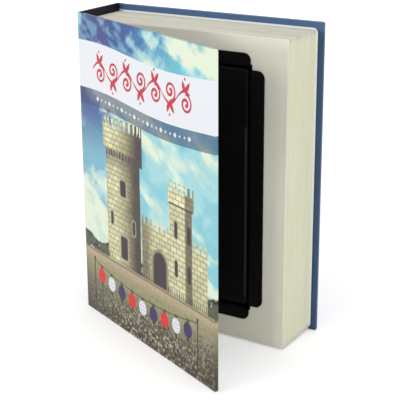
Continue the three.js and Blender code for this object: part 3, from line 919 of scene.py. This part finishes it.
def leaf_edges(front, rear, seed, curl):
    """Depths and insets across the edges of the leaves: small bundles of leaves, each with its own
    trim, and a fine groove between them. The first leaves round in by curl millimetres."""
    random = np.random.default_rng(seed)
    ends = front + np.cumsum(random.uniform(THINNEST_BUNDLE, THICKEST_BUNDLE, 200))
    ends = ends[ends < rear - LEAST_LAST_BUNDLE]
    starts = np.concatenate([[front], ends])
    ends = np.concatenate([ends, [rear]])
    trim = random.uniform(0.0, LARGEST_TRIM, len(starts))
    depth = np.stack([starts + GROOVE, starts + GROOVE_ROUND, ends - GROOVE_ROUND,
                      ends - GROOVE], -1).ravel()
    inset = np.stack([trim + LARGEST_TRIM, trim, trim, trim + LARGEST_TRIM], -1).ravel()
    turn = (1 - (depth - front) / max(curl, TINY)).clip(0)
    return depth, inset + curl * (1 - np.sqrt(np.clip(1 - turn**2, 0, 1)))


def rectangle_line(bounds, inset):
    """Points round a rectangle this far inside its edges, the same number on each side."""
    x0, x1, z0, z1 = bounds
    s = np.linspace(0, 1, LEAF_COLUMNS, endpoint=False)
    x0, x1, z0, z1 = x0 + inset, x1 - inset, z0 + inset, z1 - inset
    along = np.concatenate([x0 + (x1 - x0) * s, x1 + 0 * s, x1 + (x0 - x1) * s, x0 + 0 * s])
    up = np.concatenate([z0 + 0 * s, z0 + (z1 - z0) * s, z1 + 0 * s, z1 + (z0 - z1) * s])
    return along, up


def face_outwards(built):
    """Turns all faces of a closed mesh outwards."""
    bmesh.ops.recalc_face_normals(built, faces=built.faces)


# The cut edges show the leaves as fine and broad lines, duller at head and tail, with painted light
# next to the back cover. The open first page is plain, with painted light at the head and low down
# at the fore edge, and painted shade in a broad band below the head.
leaves, place = finish("leaves")
lines = place.stretch(0.02, 1, 0.02)
fine = lines.noise(0.00022)
broad = lines.noise(0.0021, detail=3)
page = place.mark("page")
band = (fine * 0.55 + broad * 0.45).between(0.38, 0.66)
width, thickness, height = place.axes()
# Painted light: the cut edges are paler next to the back cover.
cream = (thickness.between(0.058, 0.068) * 0.7).mix(
    band.mix(shade(*EDGE_LINE), shade(*EDGE_CREAM)), shade(*EDGE_PAINTED_LIGHT))
ends = height.between(0.2531, 0.2576) + height.between(0.0070, 0.0025)
edge = ends.mix(cream, band.mix(shade(*HEAD_LINE), shade(*HEAD_CREAM)))
# Painted light: the page is paler at the head and low down at the fore edge.
painted_light = width.between(0.080, 0.090) * height.between(0.245, 0.10)
painted_light = painted_light + height.between(0.246, 0.257)
# Painted shade: a duller broad band below the head.
painted_shade = (height + 0.45 * width).between(0.284, 0.258) * height.between(0.135, 0.220)
painted_shade = painted_shade * (1 - 0.45 * width.between(0.079, 0.090))
paper = painted_shade.mix(painted_light.mix(shade(*PAGE), shade(*PAGE_PAINTED_LIGHT)), shade(*PAGE_PAINTED_SHADE))
lay(leaves, {
    "Base Color": page.mix(edge, paper),
    "Roughness": 0.86,
    "Normal": (fine * (1 - page) + place.noise(0.0006, 3) * page * 0.4).bump(0.00008, 0.7),
})


def leaf_block(name, node, depths, seed, curl, opening=None):
    """The leaves between two depths. Its surface is rows of points round it, from the front leaf
    over the cut edges to the rear leaf, and, where it has an opening, on through that."""
    front, rear = depths
    depth, inset = leaf_edges(front, rear, seed, curl)
    depth[0], depth[-1] = depths
    flat = np.clip(1.2 - (depth - front) / max(curl, TINY), 0, 1)
    rows = [(BLOCK, curl + 0.4, front, 1.0), *((BLOCK, *row) for row in zip(inset, depth, flat)),
            (BLOCK, 0.5, rear, 1.0)]
    if opening:
        cut, trim = leaf_edges(front, rear, seed + 1, 0.0)
        cut[0], cut[-1] = depths
        through = [(opening, -i, d, 0.0) for i, d in zip(trim, cut)]
        rows += [(opening, -MARGIN_LAP, rear, 1.0), *through[::-1],
                 (opening, -MARGIN_LAP, front, 1.0)]
    outlines = [rectangle_line(bounds, i) for bounds, i, _, _ in rows]
    deep = np.array([row[2] for row in rows])[:, None]
    points = book(np.array([o[0] for o in outlines]), deep, np.array([o[1] for o in outlines]))
    corners, quads = grid(points, (0, 0, -1), at=(len(depth) // 2, 3),
                          round_rows=bool(opening), round_columns=True)
    faces, columns = quads.tolist(), points.shape[1]
    if not opening:
        last = len(corners) - columns
        faces += [list(range(columns)), list(range(last, last + columns))]
    marks = {"page": np.repeat([row[3] for row in rows], columns).astype(float)}
    made = add_object(name, mesh_of(name, corners, faces, marks, face_outwards, 50, leaves))
    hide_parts(node)
    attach(made, "book")


leaf_block("cut_leaf_block", "cut_leaves", CUT_DEPTH, 5, CUT_CURL, OPENING)
leaf_block("back_leaf_block", "back_leaves", WHOLE_DEPTH, 8, 0.0)


# Steel box and keeper: sheet steel folded into a tray with a notched flange on every side, powder
# coated black, with a painted highlight line beside the lid's free edge. The keeper is an angle
# welded inside.
COAT_DARK, COAT_PALE, COAT_PAINTED_GLINT = (4, 4, 4), (8, 8, 8), (48, 48, 48)

black_steel, place = finish("black powder coat")
texture = place.noise(0.0005)
wave = place.noise(0.012, detail=1)
width, thickness, height = place.axes()
# Painted highlight: a thin pale line on the lid's face beside its free edge.
painted_sheen = width.between(0.0561, 0.0569) * width.between(0.0580, 0.0572)
painted_sheen = painted_sheen * thickness.between(0.0205, 0.0198)
painted_sheen = painted_sheen * height.between(0.038, 0.044) * height.between(0.187, 0.182)
coat = wave.mix(shade(*COAT_DARK), shade(*COAT_PALE))
lay(black_steel, {
    "Base Color": painted_sheen.mix(coat, shade(*COAT_PAINTED_GLINT)),
    "Roughness": 0.34 + 0.12 * texture,
    "Specular IOR Level": 0.06,
    "Normal": (texture * 0.8 + wave * 0.2).bump(0.00005, 0.45),
})
dress(black_steel, "box_body", "lock_keeper")


# Lid: one sheet pressed into a shallow pan with a wide rolled rim, coated like the box, with a
# round flatted hole for the lock.
LID = (37.2, 159.1, 32.45, 232.45)
LID_FACE, LID_BACK = 6.9, 16.3
LID_CORNER, LID_EDGE, LID_SHEET = 3.2, 2.6, 1.0
LIP = 0.3
LOCK_U, LOCK_Z = 114.9, 132.45
HOLE_RADIUS, HOLE_FLAT, RING_RADIUS = 8.15, 7.25, 9.5


def rounded_line(inset, radius, corner=9, side=10):
    """Points round the lid's outline this far in, with corners of this radius."""
    x0, x1, z0, z1 = LID
    x0, x1, z0, z1 = x0 + inset, x1 - inset, z0 + inset, z1 - inset
    turn = np.linspace(0, math.pi / 2, corner)
    gap = np.linspace(0, 1, side)[1:-1]
    along, up = [], []
    corners = ((x1 - radius, z0 + radius, -0.5), (x1 - radius, z1 - radius, 0.0),
               (x0 + radius, z1 - radius, 0.5), (x0 + radius, z0 + radius, 1.0))
    for k, (cx, cz, start) in enumerate(corners):
        angle = start * math.pi + turn
        along.append(cx + radius * np.cos(angle))
        up.append(cz + radius * np.sin(angle))
        nx, nz, following = corners[(k + 1) % 4]
        angle = following * math.pi
        end = (nx + radius * math.cos(angle), nz + radius * math.sin(angle))
        along.append(along[-1][-1] + gap * (end[0] - along[-1][-1]))
        up.append(up[-1][-1] + gap * (end[1] - up[-1][-1]))
    return np.concatenate(along), np.concatenate(up)


def lock_hole(angle, radius, flat):
    """The hole in the lid: a circle with its two sides cut flat."""
    return (LOCK_U + np.clip(radius * np.cos(angle), -flat, flat), LOCK_Z + radius * np.sin(angle))


def lid_rows():
    """Rows of points of the pan, from its skirt's free edge over the rolled rim to the lock's
    hole, and back along the inside of the sheet. With them comes the count of the outer ones."""
    outer = quarter_round(LID_EDGE, 10)[::-1]
    inner = quarter_round(LID_EDGE - LID_SHEET, 8)
    least = LID_CORNER - LID_EDGE
    inside = LID_FACE + LID_SHEET
    upper = [(0.0, LID_CORNER, LID_BACK - LIP), (0.0, LID_CORNER, LID_FACE + LID_EDGE + 0.2)]
    upper += [(i, LID_CORNER - i, LID_FACE + d) for i, d in outer]
    upper += [(LID_EDGE + 0.3, least, LID_FACE), (LID_EDGE + 2.0, least, LID_FACE)]
    under = [(LID_EDGE + 2.0, least, inside), (LID_EDGE + 0.3, least, inside)]
    under += [(LID_SHEET + i, LID_CORNER - LID_SHEET - i, inside + d) for i, d in inner]
    under += [(i, LID_CORNER - i, LID_BACK - lift)
              for i, lift in ((LID_SHEET, LIP), (LID_SHEET - 0.2, 0), (0.2, 0))]
    last_along, last_up = rounded_line(*upper[-1][:2])
    angle = np.arctan2(last_up - LOCK_Z, last_along - LOCK_U)
    ring = lock_hole(angle, RING_RADIUS, RING_RADIUS)
    hole = lock_hole(angle, HOLE_RADIUS, HOLE_FLAT)
    rows = [(*rounded_line(i, radius), depth) for i, radius, depth in upper]
    rows += [(*ring, LID_FACE), (*hole, LID_FACE), (*hole, inside), (*ring, inside)]
    rows += [(*rounded_line(i, radius), depth) for i, radius, depth in under]
    return rows, len(upper)


rows, outer_rows = lid_rows()
along, up = (np.array([row[k] for row in rows]) for k in (0, 1))
points = book(along, np.array([row[2] for row in rows])[:, None], up)
made = grid(points, (0, -1, 0), at=(outer_rows - 2, 0), round_rows=True, round_columns=True)
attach(piece("lid_pan", [made], black_steel, ["lid"], crease=60), "box_lid")


# Plated fixings: zinc-plated steel pins and washers of the lid's hinge, and the lock's washer,
# nut, cam and screw, turned or stamped and left bright.
plated, place = finish("zinc plate")
streaks = place.stretch(1, 0.15, 1).noise(0.0004, detail=3)
patches = place.noise(0.004)
lay(plated, {
    "Base Color": patches.between(0.3, 0.7).mix(shade(182, 184, 186), shade(204, 203, 196)),
    "Metallic": 1.0,
    "Roughness": 0.26 + 0.16 * streaks,
    "Normal": streaks.bump(0.00002, 0.5),
})
dress(plated, "hinge_pin_lower", "hinge_pin_upper", "hinge_washer_lower", "hinge_washer_upper",
      "lock_washer", "lock_nut", "lock_cam", "cam_screw")


# Lock: a die-cast housing with a rounded bezel, nickel plated and polished, and the plug in it.
# Fine brush marks run across the plating.
nickel, place = finish("polished nickel")
brush = place.stretch(1, 0.3, 1).noise(0.0003)
lay(nickel, {
    "Base Color": shade(206, 206, 203),
    "Metallic": 1.0,
    "Roughness": 0.12 + 0.12 * brush,
    "Normal": brush.bump(0.00001, 0.4),
})
dress(nickel, "lock_plug", "lock_housing")


# Studio: a plain pale floor, one soft key from the upper left in front, a fill from the right and
# an even white surround.
FLOOR_REACH = 6
LAMP_SIZE = 1.0
MIDDLE_OF_BOOK = Vector((0, 0, 0.13))
SURROUND, SURROUND_SEEN = 0.86, 0.14


def seen(wires):
    """1 for rays from the camera and for what gloss and glass show of the surround."""
    ray = wires.node("ShaderNodeLightPath", out="Is Camera Ray")
    gloss, glass = ray.output("Is Glossy Ray"), ray.output("Is Transmission Ray")
    return ray.math("MAXIMUM", ray.math("MAXIMUM", ray, gloss), glass)


pale, place = finish("studio floor")
away = place.node("ShaderNodeVectorMath", {"operation": "LENGTH"}, {0: place}, out="Value")
lay(pale, {
    "Base Color": shade(244, 244, 244),
    "Roughness": 0.9,
    "Specular IOR Level": 0.0,
    "Emission Color": seen(place) * (0.3 + 0.35 * away.between(0.3, 2.0)),
    "Emission Strength": 1.0,
})
mesh = bpy.data.meshes.new("floor")
square = [(x * FLOOR_REACH, y * FLOOR_REACH, 0) for x, y in ((-1, -1), (1, -1), (1, 1), (-1, 1))]
mesh.from_pydata(square, [], [(0, 1, 2, 3)])
mesh.materials.append(pale)
add_object("floor", mesh)

world = bpy.data.worlds.new("studio")
world.use_nodes = True
bpy.context.scene.world = world
background = world.node_tree.nodes["Background"]
background.inputs["Color"].default_value = (1, 1, 1, 1)
strength = SURROUND + seen(Wire(world.node_tree)) * SURROUND_SEEN
world.node_tree.links.new(strength.socket, background.inputs["Strength"])

for name, location, power in (("key", (-0.6, -1.4, 1.3), 6.5), ("fill", (1.6, -0.45, 0.5), 3.8)):
    light = bpy.data.lights.new(name, "AREA")
    light.size = LAMP_SIZE
    light.energy = power
    aim(add_object(name, light, location), MIDDLE_OF_BOOK)

bpy.context.scene.view_settings.view_transform = "Standard"
